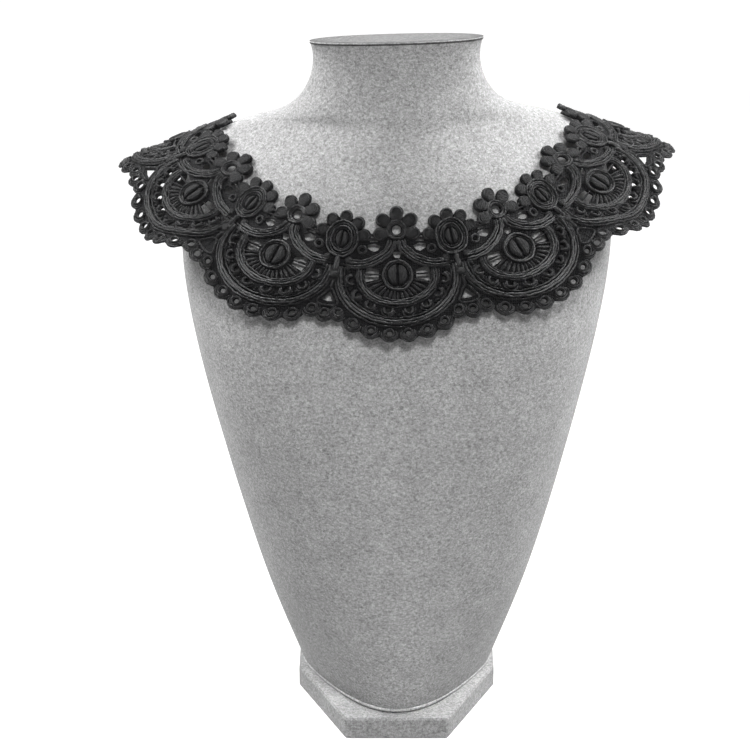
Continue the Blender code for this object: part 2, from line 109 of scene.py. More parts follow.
def drape(flat):
    radius = np.hypot(flat[:, 0], flat[:, 1])
    row = drapeAt(np.degrees(np.arctan2(flat[:, 0], -flat[:, 1])) / ringPlan["fanAngle"])
    heading, drop, edgeHeading, edgeDrop = np.radians(row[:, 3:]).T

    def direction(turn, slope):
        level = np.cos(slope)
        return np.stack([np.sin(turn) * level, -np.cos(turn) * level, -np.sin(slope)], 1)

    reach = (radius - ringPlan["drapeRadius"])[:, None]
    curl = np.where(reach > 0, reach ** 2 / (2 * ringPlan["edgeReach"]), 0.0)
    start, end = direction(heading, drop), direction(edgeHeading, edgeDrop)
    return row[:, :3] + reach * start + curl * (end - start)


def drapeOut(flat, heights):
    step = ringPlan["normalStep"]
    across = drape(flat + (step, 0.0)) - drape(flat - (step, 0.0))
    inward = drape(flat + (0.0, step)) - drape(flat - (0.0, step))
    points = drape(flat) + unit(np.cross(across, inward)) * heights[:, None]
    # the front swings a little sideways, and the whole collar leans with the shoulders
    points[:, 0] += np.maximum(drapeRows[0][3] - points[:, 2], 0.0) * ringPlan["leanSlope"]
    leanHeight = ringPlan["leanFull"] - ringPlan["leanFrom"]
    share = np.clip((points[:, 2] - ringPlan["leanFrom"]) / leanHeight, 0, 1)
    points[:, 2] += points[:, 0] * ringPlan["leanSlope"] * share ** 2 * (3 - 2 * share)
    return points * mm


# places and curves on the flat lace: a motif's p runs sideways, its q towards the neckline
def motifPlace(fan, radius):
    angle = math.radians(fan * ringPlan["fanAngle"])
    along = np.array([math.cos(angle), math.sin(angle)])
    inward = np.array([-math.sin(angle), math.cos(angle)])
    return -radius * inward, along, inward


def onLace(place, points):
    centre, along, inward = place
    points = np.atleast_2d(np.asarray(points, float))
    return centre + points[:, :1] * along + points[:, 1:] * inward


def ovalArc(halfWidth, drop, sweep, count):
    turns = np.radians(np.linspace(-sweep, sweep, count))
    return np.stack([halfWidth * np.sin(turns), -drop * np.cos(turns)], 1)


def oval(middle, halfWidth, halfHeight, count):
    turns = np.arange(count) * 2 * math.pi / count
    return np.stack([middle[0] + halfWidth * np.cos(turns), middle[1] + halfHeight * np.sin(turns)], 1)


def scallop(middle, out, radius, sweep, count):
    turns = np.radians(np.linspace(-sweep, sweep, count))
    side = np.array([out[1], -out[0]])
    return np.asarray(middle) + radius * (np.cos(turns)[:, None] * out + np.sin(turns)[:, None] * side)


def towards(turn):
    angle = math.radians(turn)
    return np.array([math.sin(angle), math.cos(angle)])


def mirrored(points):
    return np.asarray(points, float)[::-1] * (-1.0, 1.0)


def facing(middle, out, points):
    # points given sideways and outwards, set round a middle that faces out
    return np.asarray(middle) + points[:, :1] * np.array([out[1], -out[0]]) + points[:, 1:] * out


def newPiece(name, points, faces, material):
    mesh = bpy.data.meshes.new(name)
    mesh.from_pydata(points.tolist(), [], faces)
    mesh.materials.append(material)
    piece = bpy.data.objects.new(name, mesh)
    bpy.context.scene.collection.objects.link(piece)
    return piece


def ovalPlace(halfWidth, drop, turn):
    # a point of an oval round the button by its direction from straight down, and the way out from there
    side, down = math.sin(math.radians(turn)), math.cos(math.radians(turn))
    reach = 1.0 / math.hypot(side / halfWidth, down / drop)
    point = np.array([side * reach, -down * reach])
    out = point / (halfWidth ** 2, drop ** 2)
    return point, out / np.linalg.norm(out)


def smoothPath(points, step=1.0, closed=False):
    # evenly spaced points on a smooth curve through a few
    points = np.asarray(points, float)
    if closed:
        points = np.vstack([points[-2:], points, points[:3]])
    lengths = np.concatenate([[0.0], np.cumsum(np.linalg.norm(np.diff(points, axis=0), axis=1))])
    if len(points) < 3:
        count = max(2, int(lengths[-1] / step) + 1)
        share = np.linspace(0, 1, count)[:, None]
        return points[0] * (1 - share) + points[1] * share
    curve = naturalSpline(lengths, points)
    start, end = (lengths[2], lengths[-3]) if closed else (0.0, lengths[-1])
    count = max(8 if closed else 3, int(round((end - start) / step)))
    if closed:
        return curve(start + (end - start) * np.arange(count) / count)
    return curve(np.linspace(start, end, count + 1))


def pathNormals(path, closed):
    if closed:
        runs = np.roll(path, -1, axis=0) - np.roll(path, 1, axis=0)
    else:
        runs = np.gradient(path, axis=0)
    runs = unit(runs)
    return np.stack([-runs[:, 1], runs[:, 0]], 1)


# thread as raised mesh over the flat lace
threadPlan = {
    "bottom": 0.3,             # cords and pads start this far out from the lace's inner face
    "wobble": 0.13,            # share by which a cord's thickness varies
    "drift": 0.42,             # how far a cord strays sideways
    "endTaper": 0.5,           # thickness left at a cord's ends
    "padUneven": 0.04,         # share by which a pad's height varies
    # from the foot of a pad upwards: share of its outline, share of its height
    "padLevels": ((1.0, 0.0), (0.97, 0.4), (0.84, 0.76), (0.52, 0.96)),
    "ballLevels": ((1.0, 0.0), (1.0, 0.42), (0.86, 0.76), (0.5, 0.96)),
    "petalLevels": ((1.0, 0.0), (1.0, 0.5), (0.88, 0.82), (0.55, 0.97)),
    "beanLevels": ((1.0, 0.0), (0.97, 0.5), (0.86, 0.82), (0.5, 0.97)),
    "ballOval": 1.03,          # a ball is this much longer than wide
    "petalSweep": 125.0,       # a petal's round end, degrees each way
    "petalRim": (0.8, 105.0, 0.95, 0.25),      # cord on a petal: inset, sweep, width, rise over the petal
    "beanBottom": 0.5,
    "beanSweep": 80.0,
    "slitEnds": 0.7,           # a bean's slit has this share of its width at the ends
}


class Embroidery:
    def __init__(self, seed):
        self.flat, self.heights, self.faces, self.threads, self.count = [], [], [], [], 0
        self.finish = []                             # material of each face: cord 0, pad 1
        self.hand = np.random.RandomState(seed)      # small unevenness of the stitching

    def add(self, flat, heights, faces, threads, finish):
        self.finish += [finish] * len(faces)
        self.flat.append(flat)
        self.heights.append(heights)
        self.faces += [tuple(self.count + k for k in face) for face in faces]
        self.threads += threads
        self.count += len(flat)

    def cord(self, path, width, top, closed=False, sides=8):
        path = np.asarray(path, float)
        count = len(path)
        normals = pathNormals(path, closed)
        sway = self.hand.uniform(-1, 1, count)
        sway = (sway + np.roll(sway, 1) + np.roll(sway, 2)) / 3
        path = path + normals * (sway * threadPlan["drift"])[:, None]
        turns = 2 * math.pi * (np.arange(sides) + 0.5) / sides
        taper = np.ones(count)
        if not closed:
            taper[[0, -1]] = threadPlan["endTaper"]
        uneven = 1.0 + threadPlan["wobble"] * self.hand.uniform(-1, 1, count)
        middle, rise = (top + threadPlan["bottom"]) / 2, (top - threadPlan["bottom"]) / 2
        spread = (np.broadcast_to(width, count) / 2 * taper * uneven)[:, None, None]
        flat = path[:, None] + normals[:, None] * np.cos(turns)[None, :, None] * spread
        heights = middle + np.sin(turns)[None] * rise * (taper * uneven)[:, None]
        lengths = np.concatenate([[0.0], np.cumsum(np.linalg.norm(np.diff(path, axis=0), axis=1))])
        lengths = np.append(lengths, 2 * lengths[-1] - lengths[-2])
        lengths = lengths + self.hand.uniform(0, 50)     # its own part of the streaks
        girth = float(np.mean(width))
        faces, threads = [], []
        for i in range(count if closed else count - 1):
            j = (i + 1) % count
            for k in range(sides):
                m = (k + 1) % sides
                faces.append((i * sides + k, i * sides + m, j * sides + m, j * sides + k))
                low, high = girth * k / sides, girth * (k + 1) / sides
                start, end = lengths[i], lengths[i + 1]
                threads.append(((start, low), (start, high), (end, high), (end, low)))
        if not closed:
            for ring in (0, count - 1):
                rim = [ring * sides + k for k in range(sides)]
                faces.append(tuple(rim if ring else rim[::-1]))
                threads.append(tuple((lengths[ring], 0.0) for _ in rim))
        self.add(flat.reshape(-1, 2), heights.reshape(-1), faces, threads, 0)

    def pad(self, outline, top, stitch, bottom=threadPlan["bottom"], levels=threadPlan["padLevels"]):
        outline = np.asarray(outline, float)
        count, middle = len(outline), outline.mean(axis=0)
        flat = [middle + (outline - middle) * share for share, _ in levels] + [middle[None]]
        top = top * (1.0 + threadPlan["padUneven"] * self.hand.uniform(-1, 1))
        heights = [np.full(count, bottom + (top - bottom) * rise) for _, rise in levels] + [np.array([top])]
        flat, heights = np.vstack(flat), np.concatenate(heights)
        marks = np.stack([flat @ np.array([stitch[1], -stitch[0]]), flat @ np.asarray(stitch)], 1)
        faces = []
        last = (len(levels) - 1) * count
        for low in range(0, last, count):
            for k in range(count):
                m = (k + 1) % count
                faces.append((low + k, low + m, low + count + m, low + count + k))
        faces += [(last + k, last + (k + 1) % count, last + count) for k in range(count)]
        faces.append(tuple(range(count))[::-1])
        self.add(flat, heights, faces, [tuple(tuple(marks[k]) for k in face) for face in faces], 1)

    def build(self, name, cordMaterial, padMaterial):
        points = drapeOut(np.vstack(self.flat), np.concatenate(self.heights))
        piece = newPiece(name, points, self.faces, cordMaterial)
        mesh = piece.data
        mesh.materials.append(padMaterial)
        mesh.polygons.foreach_set("material_index", self.finish)
        mesh.uv_layers.new(name="thread").data.foreach_set("uv", np.vstack(self.threads).reshape(-1))
        mesh.shade_smooth()
        print(name, "faces", len(self.faces))
        return piece


class Motif:
    # stitches in a motif's own p and q
    def __init__(self, work, fan, radius):
        self.work, self.place = work, motifPlace(fan, radius)

    def cord(self, points, width, top, closed=False, step=1.0, shift=0.0, **options):
        path = smoothPath(points, step, closed)
        if shift:
            path = path + pathNormals(path, closed) * shift
        self.work.cord(onLace(self.place, path), width, top, closed=closed, **options)

    def pad(self, outline, top, along, **options):
        stitch = along[0] * self.place[1] + along[1] * self.place[2]
        self.work.pad(onLace(self.place, outline), top, stitch, **options)

    def ball(self, middle, radius, top, turn=0.0):
        out = towards(turn)
        outline = facing(middle, out, oval((0.0, 0.0), radius, radius * threadPlan["ballOval"], 12))
        self.pad(outline, top, out, levels=threadPlan["ballLevels"])

    def petal(self, centre, turn, reach, radius, top, neckReach, neck):
        # a lobe with a narrower neck towards the flower's centre, and a cord round it
        centre, out = np.asarray(centre), towards(turn)
        side = np.array([out[1], -out[0]])
        tip = scallop(reach * out, out, radius, threadPlan["petalSweep"], 11)
        foot = np.array([neckReach * out + neck / 2 * side, neckReach * out - neck / 2 * side])
        outline = centre + np.vstack([tip[::-1], foot[::-1]])
        self.pad(outline, top, out, levels=threadPlan["petalLevels"])
        inset, sweep, width, rise = threadPlan["petalRim"]
        rim = scallop(centre + reach * out, out, radius - inset, sweep, 9)
        self.cord(rim, width, top + rise, step=1.4, sides=6)

    def bean(self, halfWidth, halfHeight, top, slit):
        # two padded halves with a slit between them
        turns = np.radians(np.linspace(-threadPlan["beanSweep"], threadPlan["beanSweep"], 9))
        outer = np.stack([halfWidth * np.cos(turns), halfHeight * np.sin(turns)], 1)
        ends = threadPlan["slitEnds"]
        inner = [(slit * ends, halfHeight * ends), (slit, 0.0), (slit * ends, -halfHeight * ends)]
        lobe = np.vstack([outer, inner])
        for half in (lobe, mirrored(lobe)):
            self.pad(half, top, (1.0, 0.0), bottom=threadPlan["beanBottom"],
                     levels=threadPlan["beanLevels"])


# one fan: lengths from its button
fanPlan = {
    # ovals round the button: half width, drop
    "outerBand": (30.3, 25.2), "innerBand": (20.0, 15.2), "eyelets": (24.4, 19.0), "picots": (38.5, 31.0),
    # cords of a band: shift from its middle, width, top
    "outerCords": ((-2.3, 0.95, 2.2), (-0.85, 1.5, 3.0), (0.45, 1.6, 3.2), (2.2, 0.95, 2.3)),
    "innerCords": ((-1.75, 0.95, 2.2), (-0.6, 1.3, 2.8), (0.6, 1.3, 2.7), (1.85, 0.95, 2.2)),
    "bandSweep": 104.0, "bandPoints": {"outerBand": 25, "innerBand": 21},
    "eyeletTurns": (16.4, 43.7, 65.7, 85.7),
    "eyeletRims": ((2.25, 1.5, 3.6, 118.0), (3.5, 0.9, 2.4, 96.0)),      # radius, width, top, sweep
    "beadOval": (26.2, 21.4), "beadTurns": (0.0, 31.0, 55.5, 76.0, 97.0), "bead": (1.05, 2.0),
    "picotTurns": (7.3, 22.1, 37.6, 53.6), "picotOval": (1.08, 0.94),
    "picotRims": ((2.2, 1.15, 2.5, 180.0), (3.35, 1.1, 2.0, 118.0), (4.35, 1.0, 1.5, 100.0)),
    "ring": (7.7, 1.3, 2.8), "ringInside": (6.6, 0.8, 2.1), "ringMiddle": (0.0, -0.2),
    "bean": (5.3, 5.7, 3.2, 0.55),       # half width, half height, top, slit
    "spokeTurns": (0, 11, 22, 33, 44, 55, 66, 75, 93.5), "spokePoints": 4, "spokeTop": 2.1,
    "spokeStart": (8.9, 8.9), "spokeEnd": (17.9, 13.1), "spokeWidths": (1.0, 2.0),
    "sideSpoke": 70, "sideWidths": (0.8, 1.0),           # spokes turned further than this are thinner
    "flower": (0.0, 23.5), "flowerPetals": (-103.0, -53.0, 0.0, 53.0, 103.0), "flowerReach": 8.9,
    "petal": (3.6, 2.5), "petalNeck": (4.4, 4.6), "flowerRings": ((3.5, 1.1, 1.8), (4.7, 1.3, 2.2)),
    "roof": ((2.2, 18.0), (3.2, 14.6), (6.6, 10.9), (12.4, 7.6), (19.2, 6.2), (27.0, 7.2)),
    "roofCords": ((-1.9, 1.2, 2.5), (-0.75, 1.2, 2.8), (0.75, 1.2, 2.8), (1.9, 1.2, 2.5)),
    "neckBars": ((19.1, 1.0), (21.5, 1.3)), "neckBarSpan": (8.0, 16.5), "neckBarTop": 2.1,
    "shortCords": (((0.9, 18.0), (0.9, 13.2), 1.6, 2.6), ((31.0, 4.6), (33.0, 2.4), 2.2, 2.8)),
    # gaps of the ground, as outlines
    "flowerHole": 2.4,
    "roofGap": ((-1.2, 9.0), (1.2, 9.0), (2.9, 12.2), (-2.9, 12.2)),
    "sideGap": ((8.4, 15.4), (10.0, 13.2), (12.2, 12.6), (15.2, 14.4), (15.2, 16.5), (11.4, 17.0)),
    "slits": (((9.8, 17.6), (9.8, 18.5), (14.0, 18.5), (14.0, 17.6)),
              ((9.8, 19.7), (9.8, 20.7), (13.6, 20.7), (13.6, 19.7))),
    "spokeGapTurns": (85.5, 101.5), "spokeGapWidth": 12.0, "spokeGapEnds": ((10.0, 10.0), (17.4, 12.8)),
}


def bothSides(turns):
    # each turn to the left and to the right, and a middle one once
    return [turn * side for turn in turns for side in ((-1, 1) if turn else (1,))]


def stitchFan(work, fan):
    plan = fanPlan
    motif = Motif(work, fan, ringPlan["buttonRadius"])
    for band, cords in (("outerBand", "outerCords"), ("innerBand", "innerCords")):
        arc = ovalArc(*plan[band], plan["bandSweep"], plan["bandPoints"][band])
        for shift, width, top in plan[cords]:
            motif.cord(arc, width, top, shift=shift)
    for name in ("ring", "ringInside"):
        radius, width, top = plan[name]
        motif.cord(oval(plan["ringMiddle"], radius, radius, 20), width, top, closed=True)
    motif.bean(*plan["bean"])
    for turn in bothSides(plan["spokeTurns"]):
        start, end = (ovalPlace(*plan[name], turn)[0] for name in ("spokeStart", "spokeEnd"))
        widths = plan["sideWidths"] if abs(turn) > plan["sideSpoke"] else plan["spokeWidths"]
        path = onLace(motif.place, np.linspace(start, end, plan["spokePoints"]))
        work.cord(path, np.linspace(*widths, plan["spokePoints"]), plan["spokeTop"], sides=6)
    for turn in bothSides(plan["eyeletTurns"]):
        middle, out = ovalPlace(*plan["eyelets"], turn)
        for radius, width, top, sweep in plan["eyeletRims"]:
            motif.cord(scallop(middle, out, radius, sweep, 11), width, top, step=1.3, sides=6)
    for turn in bothSides(plan["beadTurns"]):
        motif.ball(ovalPlace(*plan["beadOval"], turn)[0], *plan["bead"])
    for side in (-1, 1):
        roof = np.array(plan["roof"]) * (side, 1.0)
        for shift, width, top in plan["roofCords"]:
            motif.cord(roof, width, top, shift=shift)
        near, far = plan["neckBarSpan"]
        for q, width in plan["neckBars"]:
            motif.cord([(side * near, q), (side * far, q)], width, plan["neckBarTop"], step=1.5, sides=6)
        for start, end, width, top in plan["shortCords"]:
            motif.cord(np.array([start, end]) * (side, 1.0), width, top)
    for radius, width, top in plan["flowerRings"]:
        motif.cord(oval(plan["flower"], radius, radius, 14), width, top, closed=True)
    for turn in plan["flowerPetals"]:
        motif.petal(plan["flower"], turn, plan["flowerReach"], *plan["petal"], *plan["petalNeck"])


# one medallion between two fans: lengths from its middle
medallionPlan = {
    # half width, half height, cord width, top
    "ovals": ((8.0, 9.3, 1.1, 2.8), (6.75, 8.0, 1.0, 2.4), (5.4, 6.6, 1.0, 2.7), (4.2, 5.5, 0.8, 2.2)),
    "bean": (3.3, 4.5, 3.0, 0.4),
    "petals": (-72.0, -36.0, 0.0, 36.0, 72.0), "reach": 11.8, "petal": (3.4, 2.5), "petalNeck": (8.0, 4.6),
    "rings": (-109.0, 109.0), "ringReach": 12.2, "ring": (1.9, 1.4, 2.3),
    "lowBalls": ((-5.6, -10.6, 2.2), (5.6, -10.6, 2.2)), "ballTop": 2.6,
    "stem": ((0.0, -9.4), (0.0, -13.0), (0.0, -17.0)), "stemCord": (2.6, 3.3),
    "knot": (0.0, -19.2, 2.9, 2.3, 3.6),       # middle, half width, half height, top
    "ladder": (-13.2, -15.2), "ladderSpan": (2.0, 7.2), "ladderCord": (1.0, 2.2),
    "tail": ((0.0, -21.0), (0.0, -26.6)), "tailCord": (1.8, 2.4),
    # the three-sided gap between two fans, the cord round it and the balls over it
    "jointGap": ((0.0, -28.2), (3.9, -33.0), (0.0, -33.4), (-3.9, -33.0)),
    "jointRim": ((0.0, -26.8), (3.2, -30.0), (5.2, -34.0), (-5.2, -34.0), (-3.2, -30.0)),
    "jointCord": (1.1, 1.9), "jointBalls": ((3.9, -24.6, 1.6), (-3.9, -24.6, 1.6)),
    # cords along a free end of the collar
    "endEdge": ((3.7, -35.6), (2.9, -31.0), (2.5, -20.0), (2.9, -12.5)),
    "endShifts": (0.0, 1.5), "endCord": (1.2, 2.2),
}


def stitchMedallion(work, fan, freeEnd):
    plan = medallionPlan
    motif = Motif(work, fan, ringPlan["medallionRadius"])
    for halfWidth, halfHeight, width, top in plan["ovals"]:
        motif.cord(oval((0, 0), halfWidth, halfHeight, 20), width, top, closed=True)
    motif.bean(*plan["bean"])
    for turn in plan["petals"]:
        motif.petal((0, 0), turn, plan["reach"], *plan["petal"], *plan["petalNeck"])
    radius, width, top = plan["ring"]
    inner = 0 if not freeEnd else (1 if fan < 0 else -1)     # the side that the lace is on
    for turn in plan["rings"]:
        if turn * inner >= 0:
            ring = oval(plan["ringReach"] * towards(turn), radius, radius, 12)
            motif.cord(ring, width, top, closed=True, sides=6)
    for p, q, radius in plan["lowBalls"] + plan["jointBalls"]:
        if p * inner >= 0:
            motif.ball((p, q), radius, plan["ballTop"])
    motif.cord(plan["stem"], *plan["stemCord"])
    p, q, halfWidth, halfHeight, top = plan["knot"]
    motif.pad(oval((p, q), halfWidth, halfHeight, 12), top, (0.0, 1.0))
    near, far = plan["ladderSpan"]
    for q in plan["ladder"]:
        for side in (-1, 1):
            if side * inner >= 0:
                motif.cord([(side * near, q), (side * far, q)], *plan["ladderCord"], step=1.5, sides=6)
    motif.cord(plan["tail"], *plan["tailCord"])
    if freeEnd:
        for shift in plan["endShifts"]:
            motif.cord(np.array(plan["endEdge"]) * (-inner, 1) + (shift * inner, 0), *plan["endCord"])
    else:
        motif.cord(plan["jointRim"], *plan["jointCord"], closed=True, sides=6)


def picotRow(first, last, ends):
    # middle of each picot of the border, and the way out from it
    row = []
    for fan in range(first, last + 1):
        place = motifPlace(fan, ringPlan["buttonRadius"])
        if fan > first or "left" in ends:
            row.append(jointPicot(fan - 0.5))
        for turn in sorted(bothSides(fanPlan["picotTurns"])):
            angle = math.radians(turn)
            width, drop = fanPlan["picots"]
            out = np.array([math.sin(angle) / width, -math.cos(angle) / drop])
            out /= np.linalg.norm(out)
            middle = onLace(place, (width * math.sin(angle), -drop * math.cos(angle)))[0]
            row.append((middle, out[0] * place[1] + out[1] * place[2]))
    if "right" in ends:
        row.append(jointPicot(last + 0.5))
    return row


def jointPicot(fan):
    place = motifPlace(fan, ringPlan["jointPicotRadius"])
    return place[0], -place[2]


def stitchPicot(work, middle, out):
    wide, high = fanPlan["picotOval"]
    for radius, width, top, sweep in fanPlan["picotRims"]:
        if sweep == 180.0:                                # a full ring
            ring = facing(middle, out, oval((0, 0), radius * wide, radius * high, 14))
            work.cord(smoothPath(ring, 1.2, True), width, top, closed=True, sides=6)
        else:
            work.cord(smoothPath(scallop(middle, out, radius, sweep, 11), 1.4), width, top, sides=6)


# the ground of the lace: a thin sheet with its gaps
groundPlan = {
    "inner": 0.25, "outer": 1.1,         # heights of its two faces
    "grid": 3.0, "clear": 1.2,           # spacing of the inner points, least distance from an edge
    "sliver": 0.002,                     # a triangle of less doubled area is left out
    "picotHole": (1.85, 1.55), "eyeletHole": 1.5,
    "rimPicot": 4.8, "rimTurns": (-50, -25, 0, 25, 50), "valley": 2.6, "leastValley": 0.3,
    "petalTrim": 0.2, "petalBends": (-78, -48, -16, 16, 48, 78),
    "flowerValley": 7.2, "medallionValley": 11.4, "neckBar": (12.9, 21.6),
    "halfSeam": 0.15, "seamClear": 0.1, "seamPoints": (-36.0, -27.0, -21.0, -14.0, -7.0, 0.0, 7.0),
    "freeEnd": ((4.4, -36.5), (3.6, -31.0), (3.2, -20.0), (3.6, -12.0),
                (6.0, -8.0), (7.8, -3.0), (8.0, 2.0)),
}


def groundLoops(first, last, row, holes):
    loops = []
    plan = fanPlan
    for fan in range(first, last + 1):
        place = motifPlace(fan, ringPlan["buttonRadius"])
        flowerHole = oval(plan["flower"], plan["flowerHole"], plan["flowerHole"], 14)
        local = [flowerHole, np.array(plan["roofGap"])]
        for gap in (plan["sideGap"],) + plan["slits"]:
            local += [np.array(gap), mirrored(gap)]
        near, far = plan["spokeGapEnds"]
        for turn in plan["spokeGapTurns"]:
            low, high = turn - plan["spokeGapWidth"] / 2, turn + plan["spokeGapWidth"] / 2
            corners = ((near, low), (far, low), (far, high), (near, high))
            gap = [ovalPlace(*ends, at)[0] for ends, at in corners]
            local += [np.array(gap), mirrored(gap)]
        radius = groundPlan["eyeletHole"] * holes
        for turn in bothSides(plan["eyeletTurns"]):
            local.append(oval(ovalPlace(*plan["eyelets"], turn)[0], radius, radius, 10))
        loops += [onLace(place, loop) for loop in local]
        if fan < last:
            joint = motifPlace(fan + 0.5, ringPlan["medallionRadius"])
            loops.append(onLace(joint, medallionPlan["jointGap"]))
    ring = oval((0, 0), *groundPlan["picotHole"], 12) * holes
    loops += [facing(middle, out, ring) for middle, out in row]
    return loops


def petalRim(place, centre, turns, reach, radius, valley):
    # round the ends of a row of petals
    centre = np.asarray(centre, float)
    rim = []
    for k, turn in enumerate(turns):
        tip = centre + reach * towards(turn)
        rim += [tip + radius * towards(turn + bend) for bend in groundPlan["petalBends"]]
        if k + 1 < len(turns):
            rim.append(centre + valley * towards((turn + turns[k + 1]) / 2))
    return onLace(place, rim)


def groundOutline(first, last, ends, row):
    # the neckline from one side to the other, then the two sides, then the border of picots
    neck = []
    half, clear = groundPlan["halfSeam"], groundPlan["seamClear"]
    bar, high = groundPlan["neckBar"]
    # fans at the whole numbers and medallions halfway, without the outer halves of their end petals
    for fan in np.arange(first - 0.5, last + 0.75, 0.5):
        if fan == round(fan):
            place = motifPlace(fan, ringPlan["buttonRadius"])
            radius = fanPlan["petal"][0] - groundPlan["petalTrim"]
            rim = petalRim(place, fanPlan["flower"], fanPlan["flowerPetals"], fanPlan["flowerReach"],
                           radius, groundPlan["flowerValley"])
            neck += [onLace(place, [(-bar, high)]), rim[3:-3], onLace(place, [(bar, high)])]
        else:
            place = motifPlace(fan, ringPlan["medallionRadius"])
            reach, radius = medallionPlan["reach"], medallionPlan["petal"][0] - groundPlan["petalTrim"]
            rim = petalRim(place, (0, 0), medallionPlan["petals"], reach, radius,
                           groundPlan["medallionValley"])[3:-3]
            local = (rim - place[0]) @ place[1]
            if fan < first and "left" not in ends:
                neck += [onLace(place, [(half, reach + radius)]), rim[local > half + clear]]
            elif fan > last and "right" not in ends:
                neck += [rim[local < -half - clear], onLace(place, [(-half, reach + radius)])]
            else:
                neck.append(rim)
    sides = []
    for fan, side, name in ((first - 0.5, 1, "left"), (last + 0.5, -1, "right")):
        place = motifPlace(fan, ringPlan["medallionRadius"])
        if name in ends:
            edge = np.array(groundPlan["freeEnd"]) * (-side, 1)
        else:
            edge = np.array([(half * side, q) for q in groundPlan["seamPoints"]])
        sides.append(onLace(place, edge))
    left, right = sides
    edge, reach = [], groundPlan["rimPicot"]
    for k, (middle, _) in enumerate(row):
        before, after = row[max(k - 1, 0)][0], row[min(k + 1, len(row) - 1)][0]
        run = (after - before) / np.linalg.norm(after - before)
        out = np.array([run[1], -run[0]])
        for corner in np.radians(groundPlan["rimTurns"]):
            edge.append(middle + reach * (math.sin(corner) * run + math.cos(corner) * out))
        if k + 1 < len(row):
            gap = row[k + 1][0] - middle
            width = np.linalg.norm(gap)
            square = np.array([gap[1], -gap[0]]) / width
            depth = math.sqrt(max(reach ** 2 - width ** 2 / 4, groundPlan["leastValley"]))
            edge.append(middle + gap / 2 + square * max(depth, groundPlan["valley"]))
    return np.vstack([np.array(edge), right, np.vstack(neck)[::-1], left[::-1]])


def loopEdges(loops):
    return np.vstack(loops), np.vstack([np.roll(loop, -1, axis=0) for loop in loops])


def crossings(points, loops):
    # inside the outline and outside the gaps, by the edges crossed on the way out
    starts, ends = loopEdges(loops)
    x, y = points[:, 0][:, None], points[:, 1][:, None]
    straddle = (starts[:, 1] > y) != (ends[:, 1] > y)
    rise = np.where(ends[:, 1] == starts[:, 1], 1.0, ends[:, 1] - starts[:, 1])
    at = starts[:, 0] + (y - starts[:, 1]) * (ends[:, 0] - starts[:, 0]) / rise
    return (straddle & (x < at)).sum(axis=1) % 2 == 1


def clearOf(points, loops, distance):
    starts, ends = loopEdges(loops)
    runs = ends - starts
    keep = []
    for point in points:
        share = np.clip(((point - starts) * runs).sum(1) / (runs ** 2).sum(1), 0, 1)
        keep.append(np.linalg.norm(starts + runs * share[:, None] - point, axis=1).min() > distance)
    return np.array(keep)


def groundSheet(name, first, last, ends, row, holes, material):
    outline = groundOutline(first, last, ends, row)
    loops = [outline] + groundLoops(first, last, row, holes)
    low, high = outline.min(axis=0), outline.max(axis=0)
    across, along = (np.arange(low[k], high[k], groundPlan["grid"]) for k in (0, 1))
    grid = np.array([(x, y) for x in across for y in along])
    grid = grid[crossings(grid, loops)]
    grid = grid[clearOf(grid, loops, groundPlan["clear"])]
    points, edges = [], []
    for loop in loops:
        start, count = len(points), len(loop)
        edges += [(start + k, start + (k + 1) % count) for k in range(count)]
        points += [Vector(p) for p in loop]
    points += [Vector(p) for p in grid]
    verts, _, faces, _, _, _ = delaunay_2d_cdt(points, edges, [], 0, 1e-5)
    flat = np.array([tuple(v) for v in verts])
    faces = np.array(faces)
    a, b, c = flat[faces[:, 0]], flat[faces[:, 1]], flat[faces[:, 2]]
    double = (b - a)[:, 0] * (c - a)[:, 1] - (b - a)[:, 1] * (c - a)[:, 0]
    keep = crossings((a + b + c) / 3, loops) & (np.abs(double) > groundPlan["sliver"])
    faces, double = faces[keep], double[keep]
    faces[double < 0] = faces[double < 0][:, ::-1]
    directed = {(t[k], t[(k + 1) % 3]) for t in faces.tolist() for k in range(3)}
    border = [edge for edge in directed if edge[::-1] not in directed]
    total = len(flat)
    shape = np.vstack([drapeOut(flat, np.full(total, groundPlan[side])) for side in ("outer", "inner")])
    polygons = [tuple(t) for t in faces.tolist()]
    polygons += [tuple(total + k for k in t[::-1]) for t in faces.tolist()]
    polygons += [(b, a, total + a, total + b) for a, b in sorted(border)]
    piece = newPiece(name, shape, polygons, material)
    mesh = piece.data
    uv = mesh.uv_layers.new(name="thread")
    corners = np.empty(len(mesh.loops), int)
    mesh.loops.foreach_get("vertex_index", corners)
    uv.data.foreach_set("uv", np.vstack([flat, flat])[corners].reshape(-1))
    work = bmesh.new()
    work.from_mesh(mesh)
    bmesh.ops.delete(work, geom=[v for v in work.verts if not v.link_faces], context="VERTS")
    work.to_mesh(mesh)
    work.free()
    middle, sideways, inwards = motifPlace((first + last) / 2, ringPlan["buttonRadius"])
    cut = tuple(np.ptp((outline - middle) @ way) * mm for way in (sideways, inwards))
    area = float(np.abs(double).sum() / 2) * mm * mm
    print(name, "faces", len(polygons), "cut", cut, "area", area)
    return piece, cut, area


def newGroup(name, ownInputs=()):
    # a cloth's colour and height at each place
    group = bpy.data.node_groups.new(name, "ShaderNodeTree")
    for title, kind in (("Place", "NodeSocketVector"), ("Colour", "NodeSocketColor")) + ownInputs:
        group.interface.new_socket(name=title, in_out="INPUT", socket_type=kind)
    for title, kind in (("Colour", "NodeSocketColor"), ("Height", "NodeSocketFloat")):
        group.interface.new_socket(name=title, in_out="OUTPUT", socket_type=kind)
    return group, group.nodes.new("NodeGroupInput"), group.nodes.new("NodeGroupOutput")


